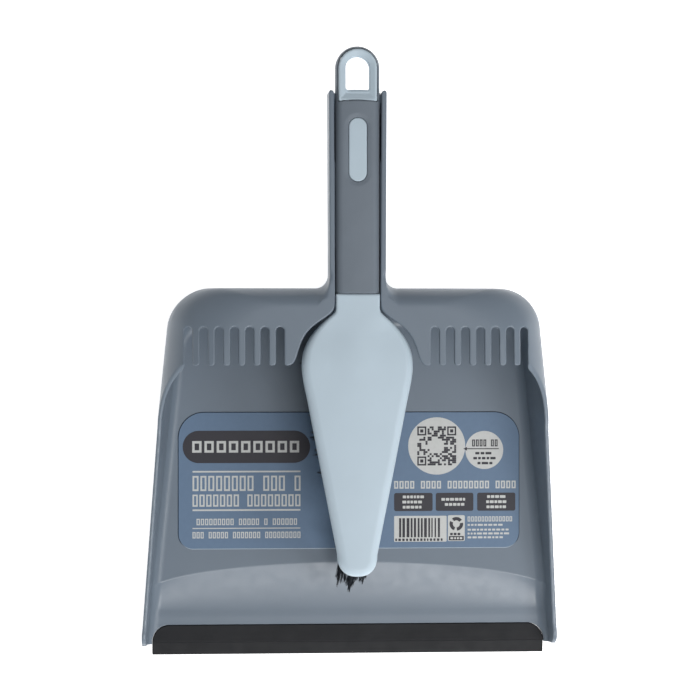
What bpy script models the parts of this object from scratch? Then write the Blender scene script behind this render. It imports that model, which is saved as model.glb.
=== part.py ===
"""Hooded dustpan with a comb edge, and the pointed hand brush that nests in its trough handle.

The pan lies on its floor: +Z up, +Y towards the handle, the rubber lip towards -Y.
Units are metres. Every sub-part is one named object; the helper solids that cut or join them
are hidden and carry the prefix of the part that they shape.
"""

from math import cos, pi, radians, sin, sqrt

import bmesh
import bpy
from mathutils import Vector

MM = 0.001

# ---- pan: the moulded shell ----
PAN_BACK = 23.4 * MM  # back wall at the ground
PAN_FRONT = -177.5 * MM  # front ends of the side walls
FRONT_HALF_WIDTH = 127.2 * MM  # side wall at the ground, at PAN_FRONT
SIDE_TAPER = 0.1015  # how fast the pan narrows towards its back
SIDE_LEAN = 0.12  # how far the side walls lean out
BACK_LEAN = 0.30
CORNER_RADIUS = 23 * MM
WALL = 2.6 * MM
WIDEST_Z = 50 * MM  # the hood turns inwards above this height
BACK_STRAIGHT_Z = 60 * MM
BACK_ROUND_Z = 66 * MM
HOOD_TOP = 80 * MM
SHOULDER = 38 * MM  # width of the hood's rounded shoulder
BACK_ROUND = 12 * MM
FLOOR_Z = 9 * MM
FLOOR_PLATE = 2.5 * MM
FLOOR_FILLET = 5.5 * MM

# ---- pan: ramp and front edge ----
CREASE_Y = -126 * MM  # top of the ramp on the centre line
RAMP_END_Y = -158 * MM
RAMP_END_Z = 3.4 * MM
BEVEL_Y = -160.5 * MM
LIP_BACK = -167 * MM
LIP_STEP = -177.6 * MM
LIP_FRONT = -185.5 * MM
LIP_HALF_WIDTH = 122.5 * MM
LIP_CORNER = 10.5 * MM
LIP_THICK = 3.0 * MM
TONGUE = (112 * MM, -172 * MM, 1.0 * MM, 2.0 * MM)  # half width, front end, lower and upper face

# ---- pan: comb and cut-out for the brush head ----
COMB_PITCH = 9.08 * MM
COMB_FIRST = 46.3 * MM  # centre of the innermost slot
COMB_SLOTS = 7
SLOT_WIDTH = 4.8 * MM
SLOT_TOP = 18 * MM
TOOTH_TIP = -5.2 * MM

# ---- pan: trough handle ----
TROUGH_HALF = (16.8 * MM, 17.35 * MM)  # outside half width at the hood and at the far end
TROUGH_INNER = (13.5 * MM, 14.25 * MM)
TROUGH_START = 31 * MM
TROUGH_END = 159.3 * MM
TROUGH_UNDER = 56 * MM
TROUGH_FLOOR = 60.5 * MM
TROUGH_FLARE = 8 * MM  # plan fillet between the trough and the hood
PAD_INNER = 13.4 * MM
PAD_RANGE = (65 * MM, 118 * MM)

# ---- brush: handle ----
GRIP_HALF = (13.05 * MM, 13.25 * MM)  # half width at the head and at the loop
GRIP_START = 37.9 * MM
LOOP_CENTRE = 172.4 * MM
RING_HALF = 11.5 * MM
RING_START = 152.6 * MM
RING_SHARE = 0.86  # thickness of the ring against the grip beside it
HOLE_HALF = 7.2 * MM
HOLE_START = 159.4 * MM
PILL_HALF = 5.4 * MM
PILL_RANGE = (104.7 * MM, 142.8 * MM)
BAR_HALF = 9.5 * MM
BAR_THICK = 4.6 * MM  # half thickness of the core's bar
BAR_Z = 73.6 * MM
CLEAR = 0.12 * MM  # moulding line between the grip and the core

# ---- brush: head and bristles ----
HEAD_HALF = 33.2 * MM
HEAD_TIP = -131 * MM
TIP_HALF = 11.9 * MM
TIP_START = -118 * MM
HEAD_EDGE_Z = 73.5 * MM  # height of the head's widest line
HEAD_TOP = 84 * MM
HEAD_UNDER = 69 * MM
TUFT_PITCH_Y = 10.8 * MM
TUFT_PITCH_X = 10.4 * MM
TUFT_FIRST_Y = 7 * MM
TUFT_LAST_Y = -123 * MM
TUFT_INSET = 7.2 * MM
TUFT_ROOT_RADIUS = 1.9 * MM
TUFT_TIP_RADIUS = 3.1 * MM
TUFT_ROOT_Z = 74.2 * MM
TUFT_TIP_Z = 25 * MM
SOCKET_CLEAR = 0.2 * MM

# ---- label card ----
CARD_HALF = 106.6 * MM
CARD_BACK = -34.2 * MM
CARD_FRONT = -119.4 * MM
CARD_THICK = 0.5 * MM
CARD_BACK_RADIUS = 16 * MM
CARD_FRONT_RADIUS = 9.5 * MM


# ---------------------------------------------------------------- scene and materials


def clear_scene():
    for thing in list(bpy.data.objects):
        bpy.data.objects.remove(thing, do_unlink=True)
    for block in (bpy.data.meshes, bpy.data.materials):
        for item in list(block):
            block.remove(item)


def material(name, rgb, roughness, metallic=0.0):
    made = bpy.data.materials.new(name)
    made.use_nodes = True
    shader = made.node_tree.nodes["Principled BSDF"]
    shader.inputs["Base Color"].default_value = (*rgb, 1.0)
    shader.inputs["Roughness"].default_value = roughness
    shader.inputs["Metallic"].default_value = metallic
    made.diffuse_color = (*rgb, 1.0)
    return made


def place(name, bm, finish=None, parent=None):
    """A mesh object from bm. Without a finish it is a helper solid, hidden from renders."""
    bmesh.ops.recalc_face_normals(bm, faces=bm.faces)
    if bm.calc_volume(signed=True) < 0:
        bmesh.ops.reverse_faces(bm, faces=bm.faces)
    mesh = bpy.data.meshes.new(name)
    bm.to_mesh(mesh)
    bm.free()
    thing = bpy.data.objects.new(name, mesh)
    bpy.context.scene.collection.objects.link(thing)
    if finish:
        mesh.materials.append(finish)
    else:
        thing.hide_render = True
        thing.display_type = "WIRE"
    if parent:
        thing.parent = parent
    return thing


def boolean(thing, operation, helper):
    step = thing.modifiers.new(helper.name, "BOOLEAN")
    step.operation = operation
    step.solver = "EXACT"
    step.object = helper


# ---------------------------------------------------------------- solids


def loft(rings):
    """A closed solid through rings of equally many points, capped at both ends."""
    bm = bmesh.new()
    rows = [[bm.verts.new(p) for p in ring] for ring in rings]
    for low, high in zip(rows, rows[1:]):
        for i in range(len(low)):
            j = (i + 1) % len(low)
            bm.faces.new((low[i], low[j], high[j], high[i]))
    bm.faces.new(rows[0])
    bm.faces.new(rows[-1])
    return bm


def prism(outline, low, high):
    return loft([[(x, y, z) for x, y in outline] for z in (low, high)])


def slab(rows, lower, upper):
    """A closed solid over a grid of (x, y) rows, between the heights lower(x, y) and upper(x, y)."""
    bm = bmesh.new()
    under = [[bm.verts.new((x, y, lower(x, y))) for x, y in row] for row in rows]
    over = [[bm.verts.new((x, y, upper(x, y))) for x, y in row] for row in rows]
    count = len(rows[0])
    for sheet in (under, over):
        for a, b in zip(sheet, sheet[1:]):
            for i in range(count - 1):
                bm.faces.new((a[i], a[i + 1], b[i + 1], b[i]))
    rims = [(under[0], over[0]), (under[-1], over[-1])]
    rims += [([r[k] for r in under], [r[k] for r in over]) for k in (0, -1)]
    for a, b in rims:
        for i in range(len(a) - 1):
            bm.faces.new((a[i], a[i + 1], b[i + 1], b[i]))
    return bm


def box(x, y, z):
    return prism([(x[0], y[0]), (x[1], y[0]), (x[1], y[1]), (x[0], y[1])], *z)


def arc(cx, cy, rx, ry, start, end, steps):
    """Points on an ellipse from start to end degrees."""
    turns = [radians(start + (end - start) * i / steps) for i in range(steps + 1)]
    return [(cx + rx * cos(t), cy + ry * sin(t)) for t in turns]


def bezier(a, b, c, d, steps):
    points = []
    for i in range(steps + 1):
        t = i / steps
        w = ((1 - t) ** 3, 3 * t * (1 - t) ** 2, 3 * t * t * (1 - t), t**3)
        points.append(tuple(sum(k * p[n] for k, p in zip(w, (a, b, c, d))) for n in (0, 1)))
    return points


def mirrored(half):
    """A closed outline from its +X half, listed from one end of the centre line to the other."""
    return half + [(-x, y) for x, y in reversed(half) if abs(x) > 1e-9]


def drop(distance, width, height):
    """How far an elliptical shoulder falls short of its width at a height above its start."""
    if distance <= 0:
        return 0.0
    return width * (1 - sqrt(max(0.0, 1 - (distance / height) ** 2)))


# ---------------------------------------------------------------- pan shell


def side_x(y, z, inset=0.0):
    straight = FRONT_HALF_WIDTH - SIDE_TAPER * (y - PAN_FRONT) + SIDE_LEAN * min(z, WIDEST_Z)
    return straight - inset - drop(z - WIDEST_Z, SHOULDER - inset, HOOD_TOP - WIDEST_Z - inset)


def back_y(z, inset=0.0):
    straight = PAN_BACK + BACK_LEAN * min(z, BACK_STRAIGHT_Z)
    return straight - inset - drop(z - BACK_ROUND_Z, BACK_ROUND - inset, HOOD_TOP - BACK_ROUND_Z - inset)


def pan_outline(z, inset, front, foot=0.0):
    """The pan's plan at height z. foot draws the outline in further, for the floor fillet."""
    back = back_y(z, inset) - foot
    radius = CORNER_RADIUS - inset - 0.4 * foot + 0.3 * drop(z - WIDEST_Z, SHOULDER, HOOD_TOP - WIDEST_Z)
    slope = 6.0
    touch = back - radius + radius * sin(radians(slope))
    cx = side_x(touch, z, inset) - foot - radius * cos(radians(slope))
    half = [(side_x(front, z, inset) - foot, front)]
    half += arc(cx, back - radius, radius, radius, slope, 90, 10)
    return mirrored(half)


def shoulder_heights(top, steps=9):
    return [WIDEST_Z + (top - WIDEST_Z) * sin(pi / 2 * i / steps) for i in range(1, steps + 1)]


def pan_outer():
    heights = [0.0, WIDEST_Z] + shoulder_heights(HOOD_TOP)
    return loft([[(x, y, z) for x, y in pan_outline(z, 0.0, PAN_FRONT)] for z in heights])


def pan_interior():
    rings = []
    for i in range(6):
        turn = pi / 2 * i / 5
        z = FLOOR_Z + FLOOR_FILLET * (1 - cos(turn))
        foot = FLOOR_FILLET * (1 - sin(turn))
        rings.append([(x, y, z) for x, y in pan_outline(z, WALL, PAN_FRONT * 1.1, foot)])
    for z in [WIDEST_Z] + shoulder_heights(HOOD_TOP - WALL):
        rings.append([(x, y, z) for x, y in pan_outline(z, WALL, PAN_FRONT * 1.1)])
    return loft(rings)


def crease_y(share):
    """Where the ramp starts, for a place that is this share of the way from centre to wall."""
    return CREASE_Y - 11 * MM * share**2 - 7 * MM * share**8


def ramp_space():
    """The room above the ramp and the front edge, with its own fillets to the side walls."""
    columns = [i / 8 for i in range(-8, 9)]
    fillet = [radians(a) for a in (22.5, 45, 67.5, 90)]
    wall_z = RAMP_END_Z + FLOOR_FILLET

    def point(side, y):
        """side runs from -1 to 1 over the flat part and beyond it over the fillet's angle."""
        flat = side_x(y, wall_z, WALL) - FLOOR_FILLET
        if abs(side) <= 1:
            return flat * side, 0.0
        turn = fillet[round(abs(side)) - 2]
        x = flat + FLOOR_FILLET * sin(turn)
        return (x if side > 0 else -x), FLOOR_FILLET * (1 - cos(turn))

    sides = [-5, -4, -3, -2] + columns + [2, 3, 4, 5]
    rise = {}
    rows = []
    stations = [("ramp", i / 7) for i in range(8)]
    stations += [("level", BEVEL_Y), ("bevel", LIP_BACK), ("bevel", PAN_FRONT - 12 * MM)]
    for kind, at in stations:
        row = []
        for side in sides:
            if kind == "ramp":
                share = min(1.0, abs(side) / 1.12) if abs(side) <= 1 else 0.9 + 0.025 * (abs(side) - 1)
                y = crease_y(share) * (1 - at) + RAMP_END_Y * at
                z = RAMP_END_Z + (FLOOR_Z - RAMP_END_Z) * (1 - at) ** 1.6
            else:
                y = at
                z = RAMP_END_Z if kind == "level" else LIP_THICK - 0.2 * MM
            x, up = point(side, y)
            row.append((x, y))
            rise[(x, y)] = z + up
        rows.append(row)
    return slab(rows, lambda x, y: rise[(x, y)], lambda x, y: 35 * MM)


def cutout_half():
    """The +X edge of the hood's opening for the brush head, from the trough to the first tooth."""
    neck = TROUGH_INNER[0] + 0.1 * MM
    hip = (33.8 * MM, 8.5 * MM)
    edge = [(neck, TROUGH_START + 2 * MM)]
    edge += bezier((neck, TROUGH_START), (14.3 * MM, 22.8 * MM), (28.3 * MM, 22.6 * MM), hip, 10)
    edge += bezier(hip, (36.2 * MM, 3 * MM), (36.4 * MM, -2.2 * MM), (39.4 * MM, -4.3 * MM), 6)[1:]
    return edge


def hood_opening():
    """The plan that opens the hood: the head's cut-out and, on each side, the comb's slots."""
    half = cutout_half()
    slot = SLOT_WIDTH / 2
    tip = (COMB_PITCH - SLOT_WIDTH) / 2
    shoulder = TOOTH_TIP + tip
    first = COMB_FIRST - slot
    half += arc(first - tip, shoulder, tip, tip, 250, 360, 5)
    for i in range(COMB_SLOTS):
        x = COMB_FIRST + i * COMB_PITCH
        half += arc(x, SLOT_TOP - slot, slot, slot, 180, 0, 6)
        if i < COMB_SLOTS - 1:
            half += arc(x + COMB_PITCH / 2, shoulder, tip, tip, 180, 360, 6)
    outer = COMB_FIRST + (COMB_SLOTS - 1) * COMB_PITCH + slot
    half += [(outer, -40 * MM)]
    return mirrored(half)


def rim_cut():
    """Everything above the pan's rim line, seen from the side, in front of the comb."""
    rim = [(TOOTH_TIP, 100 * MM), (TOOTH_TIP, 71 * MM)]
    knee, nose = (-46 * MM, 47.5 * MM), (-166 * MM, 20.5 * MM)
    rim += bezier(rim[-1], (-11 * MM, 66.5 * MM), (-25 * MM, 55 * MM), knee, 8)[1:]
    rim += bezier(knee, (-80 * MM, 40 * MM), (-125 * MM, 29.5 * MM), nose, 8)[1:]
    rim += arc(-170.3 * MM, 12.2 * MM, 8 * MM, 8 * MM, 82, 170, 5)
    rim += [(-200 * MM, 12 * MM), (-200 * MM, 100 * MM)]
    return loft([[(x, y, z) for y, z in rim] for x in (-150 * MM, 150 * MM)])


def trough_half(pair, y):
    """Half width of the trough at y: pair holds it at the hood and at the far end."""
    return pair[0] + (pair[1] - pair[0]) * (y - TROUGH_START) / (TROUGH_END - TROUGH_START)


def trough_outer():
    """The channel's outside, with plan fillets that follow the hood's rounded back edge."""
    under = 6 * MM
    turns = [pi / 2 * i / 4 for i in range(5)]
    levels = [(TROUGH_UNDER + under * (1 - cos(t)), under * (1 - sin(t))) for t in turns]
    levels += [(z * MM, 0.0) for z in (66, 71, 75, 78)]
    levels += [(HOOD_TOP - 0.7 * MM, 0.15 * MM), (HOOD_TOP, 0.8 * MM)]
    flare, corner = TROUGH_FLARE, 1.2 * MM
    rings = []
    for z, inset in levels:
        back = back_y(z) - 0.2 * MM
        root = trough_half(TROUGH_HALF, back + flare) - inset
        end = TROUGH_END - inset
        half = [(root + flare + 1 * MM, 15 * MM)]
        half += arc(root + flare, back + flare, flare, flare, 270, 180, 7)
        half += arc(TROUGH_HALF[1] - inset - corner, end - corner, corner, corner, 0, 90, 3)
        rings.append([(x, y, z) for x, y in mirrored(half)])
    return loft(rings)


def trough_slot():
    """The channel's inside, which widens a little towards its far end."""
    low, corner = TROUGH_FLOOR, 3 * MM
    rings = []
    for y in (24 * MM, 175 * MM):
        inner = trough_half(TROUGH_INNER, y)
        half = arc(inner - corner, low + corner, corner, corner, 270, 360, 4)
        half += [(inner, 100 * MM)]
        rings.append([(x, y, z) for x, z in half + [(-x, z) for x, z in reversed(half)]])
    return loft(rings)


def trough_mouth():
    """The lead-in that rounds off the inner edges of the channel's far end."""
    inner = TROUGH_INNER[1] - 0.1 * MM
    half = bezier(
        (inner, TROUGH_END - 7 * MM),
        (inner, TROUGH_END - 3 * MM),
        (inner + 0.8 * MM, TROUGH_END - 0.6 * MM),
        (inner + 2 * MM, TROUGH_END + 0.5 * MM),
        5,
    )
    return prism(mirrored(half), TROUGH_FLOOR + 4 * MM, 100 * MM)


def underside_pocket():
    """The hollow below the flat floor."""
    return prism(pan_outline(0.0, 3.2 * MM, -122 * MM), -5 * MM, FLOOR_Z - FLOOR_PLATE)


def ramp_pocket():
    """The hollow below the ramp, which runs out towards the lip."""
    stations = (-151 * MM, -121 * MM)
    rows = [[((side_x(y, 0.0) - 3.5 * MM) * i / 4, y) for i in range(-4, 5)] for y in stations]
    top = {stations[0]: 0.6 * MM, stations[1]: FLOOR_Z - FLOOR_PLATE - 0.1 * MM}
    return slab(rows, lambda x, y: -5 * MM, lambda x, y: top[y])


def lip_outline(half_width, back, front):
    r = LIP_CORNER
    half = [(half_width, front)] + arc(half_width - r, back - r, r, r, 0, 90, 7)
    return mirrored(half)


def pan_shell(finish, parent):
    shell = place("pan_shell", pan_outer(), finish, parent)
    gap = 0.15 * MM
    steps = [
        ("UNION", "pan_trough", trough_outer()),
        ("DIFFERENCE", "pan_interior", pan_interior()),
        ("DIFFERENCE", "pan_ramp_space", ramp_space()),
        ("DIFFERENCE", "pan_trough_slot", trough_slot()),
        ("DIFFERENCE", "pan_trough_mouth", trough_mouth()),
        ("DIFFERENCE", "pan_hood_opening", prism(hood_opening(), 58 * MM, 95 * MM)),
        ("DIFFERENCE", "pan_rim_cut", rim_cut()),
        ("DIFFERENCE", "pan_pocket", underside_pocket()),
        ("DIFFERENCE", "pan_ramp_pocket", ramp_pocket()),
        (
            "DIFFERENCE",
            "pan_lip_seat",
            prism(lip_outline(LIP_HALF_WIDTH + gap, LIP_BACK + gap, -200 * MM), -3 * MM, 28 * MM),
        ),
        (
            "UNION",
            "pan_tongue",
            box((-TONGUE[0], TONGUE[0]), (TONGUE[1], -163 * MM), (TONGUE[2], TONGUE[3])),
        ),
    ]
    top = FLOOR_Z - 1.2 * MM
    for i, x in enumerate((-62 * MM, 0.0, 62 * MM)):
        rib = box((x - 1.1 * MM, x + 1.1 * MM), (-121 * MM, 20.5 * MM), (0.0, top))
        steps.append(("UNION", "pan_rib_%d" % i, rib))
    for name, y, depth in (("heel", 8 * MM, 4 * MM), ("mid", -62 * MM, 1.1 * MM)):
        reach = side_x(y, 0.0) - 1.5 * MM
        steps.append(("UNION", "pan_bar_" + name, box((-reach, reach), (y - depth, y + depth), (0.0, top))))
    for side, name in ((-1, "left"), (1, "right")):
        x = sorted((side * PAD_INNER, side * (TROUGH_INNER[1] + 1.2 * MM)))
        steps.append(("UNION", "pan_pad_" + name, box(x, PAD_RANGE, (65 * MM, 78 * MM))))
    for operation, name, bm in steps:
        boolean(shell, operation, place(name, bm))
    return shell


# ---------------------------------------------------------------- rubber lip


def rubber_lip(finish, parent):
    """The squeegee strip: a thick band that grips the pan's tongue, and a thin blade before it."""
    r = LIP_CORNER
    rows = []
    turns = [pi / 2 * i / 6 for i in range(7)]
    ys = [LIP_BACK - r * (1 - cos(t)) for t in turns]
    halves = [LIP_HALF_WIDTH - r + r * sin(t) for t in turns]
    ys += [LIP_STEP, LIP_STEP - 0.5 * MM, LIP_FRONT + 0.6 * MM, LIP_FRONT]
    halves += [LIP_HALF_WIDTH, LIP_HALF_WIDTH, LIP_HALF_WIDTH, LIP_HALF_WIDTH - 0.6 * MM]
    for y, half in zip(ys, halves):
        rows.append([(half * i / 4, y) for i in range(-4, 5)])
    blade = {LIP_STEP - 0.5 * MM: 1.9 * MM, LIP_FRONT + 0.6 * MM: 1.2 * MM, LIP_FRONT: 0.8 * MM}
    strip = slab(rows, lambda x, y: 0.0, lambda x, y: blade.get(y, LIP_THICK))
    lip = place("rubber_lip", strip, finish, parent)
    gap = 0.15 * MM
    half, front, low, high = TONGUE
    groove = box((-half - gap, half + gap), (front - gap, -150 * MM), (low - gap, high + gap))
    boolean(lip, "DIFFERENCE", place("lip_groove", groove))
    return lip


# ---------------------------------------------------------------- brush


def handle_levels(y):
    """Centre height and half thickness of the handle, which thins towards the loop."""
    share = min(1.0, max(0.0, (y - GRIP_START) / (LOOP_CENTRE - GRIP_START)))
    top = 82 * MM - 1.5 * MM * share
    under = 62.6 * MM + 5.0 * MM * share
    return (top + under) / 2, (top - under) / 2


def rounded_section(half_width, centre, up, down, power=3.0, count=24, y=0.0):
    """A superellipse across the brush, with its own height above and below the centre."""
    points = []
    for i in range(count):
        t = 2 * pi * i / count
        c, s = cos(t), sin(t)
        x = half_width * abs(c) ** (2 / power) * (1 if c >= 0 else -1)
        z = centre + (up if s >= 0 else -down) * abs(s) ** (2 / power)
        points.append((x, y, z))
    return points


def grip_half(y):
    share = min(1.0, max(0.0, (y - GRIP_START) / (LOOP_CENTRE - GRIP_START)))
    return GRIP_HALF[0] + (GRIP_HALF[1] - GRIP_HALF[0]) * share


def handle_solid():
    """The handle's rounded bar, from the joint with the head to its half-round far end."""
    ys = [GRIP_START + (LOOP_CENTRE - GRIP_START) * i / 4 for i in range(5)]
    ys += [LOOP_CENTRE + GRIP_HALF[1] * sin(radians(a)) for a in (15, 30, 45, 58, 69, 78, 85)]
    rings = []
    for y in ys:
        centre, thick = handle_levels(y)
        past = max(0.0, y - LOOP_CENTRE)
        half = sqrt(grip_half(y) ** 2 - past * past)
        thick *= 1 - 0.12 * (past / GRIP_HALF[1]) ** 2
        rings.append(rounded_section(half, centre, thick, thick, 4.0, 28, y))
    return loft(rings)


def ring_outline(grow):
    half = RING_HALF + grow
    low = RING_START - grow
    right = [(0.0, low + 0.5 * MM), (half * 0.5, low + 0.35 * MM), (half, low)]
    return mirrored(right + arc(0.0, LOOP_CENTRE, half, half, 0, 90, 9))


def ring_plate(grow, reach=None):
    centre, thick = handle_levels(LOOP_CENTRE)
    half = reach or thick * RING_SHARE
    return prism(ring_outline(grow), centre - half, centre + half)


def loop_hole():
    """The hanging hole, round above and square below, with a bevelled mouth on both faces."""
    centre, thick = handle_levels(LOOP_CENTRE)
    land = thick * RING_SHARE - 1.8 * MM
    rings = []
    for z, grow in ((-9 * MM, 1.7 * MM), (-land, 0.0), (land, 0.0), (9 * MM, 1.7 * MM)):
        half, low, corner = HOLE_HALF + grow, HOLE_START - grow, 1.6 * MM
        right = [(0.0, low + 0.3 * MM)] + arc(half - corner, low + corner, corner, corner, 270, 360, 3)
        right += arc(0.0, LOOP_CENTRE + 0.1 * MM, half, half, 0, 90, 7)
        rings.append([(x, y, centre + z) for x, y in mirrored(right)])
    return loft(rings)


def pill(grow, low, high):
    half = PILL_HALF + grow
    right = arc(0.0, PILL_RANGE[0] + PILL_HALF, half, half, 270, 360, 6)
    right += arc(0.0, PILL_RANGE[1] - PILL_HALF, half, half, 0, 90, 6)
    return prism(mirrored(right), low, high)


def head_outline():
    """(half width, y) along the head: neck, shoulders, long taper and rounded tip."""
    neck = [(GRIP_HALF[0], GRIP_START - CLEAR), (GRIP_HALF[0], 34 * MM)]
    start, hip, widest = (GRIP_HALF[0], 30 * MM), (17.5 * MM, 23.4 * MM), (HEAD_HALF, -5 * MM)
    taper = (29.9 * MM, -25.5 * MM)
    flare = bezier(start, (GRIP_HALF[0], 26.5 * MM), (14.2 * MM, 26.2 * MM), hip, 4)
    flare += bezier(hip, (25.5 * MM, 16.6 * MM), (33.3 * MM, 8 * MM), widest, 8)[1:]
    turn = bezier(widest, (33.1 * MM, -12 * MM), (31.3 * MM, -19 * MM), taper, 4)[1:]
    middle = [((taper[0] + TIP_HALF) / 2, (taper[1] + TIP_START) / 2), (TIP_HALF, TIP_START)]
    length = TIP_START - HEAD_TIP
    tip = [
        (TIP_HALF * cos(radians(a)) ** 0.84, TIP_START - length * sin(radians(a)) ** 0.84)
        for a in (15, 32, 48, 62, 74, 83, 88)
    ]
    return neck + flare + turn + middle + tip


def head_solid():
    rings = []
    for half, y in head_outline():
        share = min(1.0, max(0.0, (34 * MM - y) / (40 * MM)))
        ease = share * share * (3 - 2 * share)
        neck_centre, neck_thick = handle_levels(y)
        centre = neck_centre + (HEAD_EDGE_Z - neck_centre) * ease
        up = neck_thick + (HEAD_TOP - HEAD_EDGE_Z - neck_thick) * ease
        down = neck_thick + (HEAD_EDGE_Z - HEAD_UNDER - neck_thick) * ease
        fall = min(1.0, max(0.0, (-10 * MM - y) / -HEAD_TIP))
        up *= 1 - 0.22 * fall * fall
        past = max(0.0, TIP_START - y) / (TIP_START - HEAD_TIP)
        close = max(0.0, 1 - (0.96 * past) ** 3) ** 0.6
        power = 4.0 - 1.1 * ease
        rings.append(rounded_section(half, centre, up * close, down * close, power, 28, y))
    return loft(rings)


def half_width_at(y):
    """The head's half width at y, between the outline's stations."""
    stations = head_outline()
    for (w0, y0), (w1, y1) in zip(stations, stations[1:]):
        if y1 <= y <= y0:
            return w0 + (w1 - w0) * (y0 - y) / (y0 - y1 or 1)
    return 0.0


def tuft_places():
    """Where the tufts leave the head: straight rows, as many across as the head is wide."""
    places = []
    rows = round((TUFT_FIRST_Y - TUFT_LAST_Y) / TUFT_PITCH_Y)
    for r in range(rows + 1):
        y = TUFT_FIRST_Y + (TUFT_LAST_Y - TUFT_FIRST_Y) * r / rows
        reach = max(0.0, half_width_at(y) - TUFT_INSET)
        across = int(2 * reach / TUFT_PITCH_X) + 1
        for c in range(across):
            x = 0.0 if across == 1 else reach * (2 * c / (across - 1) - 1)
            places.append((x, y))
    return places


def tuft_lean(x, y):
    """How far a tuft's tips lie from its root: a little outwards, and well forward at the tip."""
    forward = min(1.0, max(0.0, (-78 * MM - y) / (45 * MM)))
    return x * (0.03 + 0.12 * forward), -1.0 * MM - 13.5 * MM * forward**1.5


def tuft_ring(x, y, z, clear=0.0, count=8):
    """The tuft's section at height z: tufts are drilled in at their lean and widen evenly."""
    lean_x, lean_y = tuft_lean(x, y)
    share = (TUFT_ROOT_Z - z) / (TUFT_ROOT_Z - TUFT_TIP_Z)
    x, y = x + lean_x * share, y + lean_y * share
    radius = TUFT_ROOT_RADIUS + (TUFT_TIP_RADIUS - TUFT_ROOT_RADIUS) * share + clear
    turns = [2 * pi * i / count for i in range(count)]
    return [(x + radius * cos(t), y + radius * sin(t), z) for t in turns]


def tuft(name, x, y, finish, parent):
    return place(name, loft([tuft_ring(x, y, z) for z in (TUFT_ROOT_Z, TUFT_TIP_Z)]), finish, parent)


def tuft_sockets():
    bm = bmesh.new()
    for x, y in tuft_places():
        low, high = (
            [bm.verts.new(p) for p in tuft_ring(x, y, z, SOCKET_CLEAR)]
            for z in (HEAD_UNDER - 6 * MM, TUFT_ROOT_Z + 0.4 * MM)
        )
        for i in range(len(low)):
            j = (i + 1) % len(low)
            bm.faces.new((low[i], low[j], high[j], high[i]))
        bm.faces.new(low)
        bm.faces.new(high)
    return bm


def brush_core(finish, parent):
    """Head, neck, the bar inside the grip, the pill and the loop ring: one hard moulding."""
    core = place("brush_core", head_solid(), finish, parent)
    centre, thick = handle_levels(sum(PILL_RANGE) / 2)
    boolean(core, "UNION", place("core_bar", bar_solid(0.0, 30 * MM, 156 * MM)))
    boolean(core, "UNION", place("core_ring", ring_plate(0.0)))
    boolean(core, "UNION", place("core_pill", pill(0.0, centre, centre + thick - 0.7 * MM)))
    boolean(core, "DIFFERENCE", place("core_hole", loop_hole()))
    boolean(core, "DIFFERENCE", place("core_sockets", tuft_sockets()))
    return core


def bar_solid(grow, start, end):
    """The core's bar inside the grip."""
    half, thick = BAR_HALF + grow, BAR_THICK + grow
    return loft([rounded_section(half, BAR_Z, thick, thick, 4.0, 16, y) for y in (start, end)])


def grip_sleeve(finish, parent):
    """The soft sleeve moulded round the core, open over the pill and round the ring."""
    grip = place("grip_sleeve", handle_solid(), finish, parent)
    centre, _ = handle_levels(sum(PILL_RANGE) / 2)
    boolean(grip, "DIFFERENCE", place("grip_bore", bar_solid(CLEAR, 30 * MM, 156 * MM + CLEAR)))
    boolean(grip, "DIFFERENCE", place("grip_ring_seat", ring_plate(CLEAR, 14 * MM)))
    boolean(grip, "DIFFERENCE", place("grip_window", pill(CLEAR, centre, centre + 14 * MM)))
    return grip


# ---------------------------------------------------------------- label card


def label_card(finish, parent):
    back, front = CARD_BACK_RADIUS, CARD_FRONT_RADIUS
    half = arc(CARD_HALF - front, CARD_FRONT + front, front, front, 270, 360, 6)
    half += arc(CARD_HALF - back, CARD_BACK - back, back, back, 0, 90, 6)
    base = FLOOR_Z + 0.1 * MM
    return place("label_card", prism(mirrored(half), base, base + CARD_THICK), finish, parent)


# ---------------------------------------------------------------- assembly


def empty(name, at=(0, 0, 0)):
    made = bpy.data.objects.new(name, None)
    made.location = Vector(at)
    bpy.context.scene.collection.objects.link(made)
    return made


def build():
    clear_scene()
    pan_finish = material("pan_plastic", (0.170, 0.208, 0.258), 0.45)
    core_finish = material("pale_blue_plastic", (0.475, 0.570, 0.640), 0.40)
    grip_finish = material("grip_rubber", (0.150, 0.180, 0.225), 0.60)
    lip_finish = material("lip_rubber", (0.028, 0.030, 0.036), 0.65)
    tuft_finish = material("black_bristle", (0.008, 0.009, 0.014), 0.55)
    card_finish = material("printed_card", (0.125, 0.185, 0.300), 0.50)

    dustpan, brush, card = empty("dustpan"), empty("brush"), empty("card")
    pan_shell(pan_finish, dustpan)
    rubber_lip(lip_finish, dustpan)
    label_card(card_finish, card)
    brush_core(core_finish, brush)
    grip_sleeve(grip_finish, brush)
    for i, (x, y) in enumerate(tuft_places(), 1):
        tuft("bristle_tuft_%02d" % i, x, y, tuft_finish, brush)


build()
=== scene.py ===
"""Looks of the hooded dustpan with its comb edge, and of the pointed hand brush nested in it.

The hard mouldings are described as signed distances, in millimetres, in the CAD's own frame.
Each is meshed on a fine grid with its vertices set on the true surface, so that its edges and
fillets are really round. +Z is up, +Y is towards the handle, and the rubber lip is towards -Y.
"""

import bmesh
import bpy
import numpy as np
from mathutils import Matrix, Vector


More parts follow.
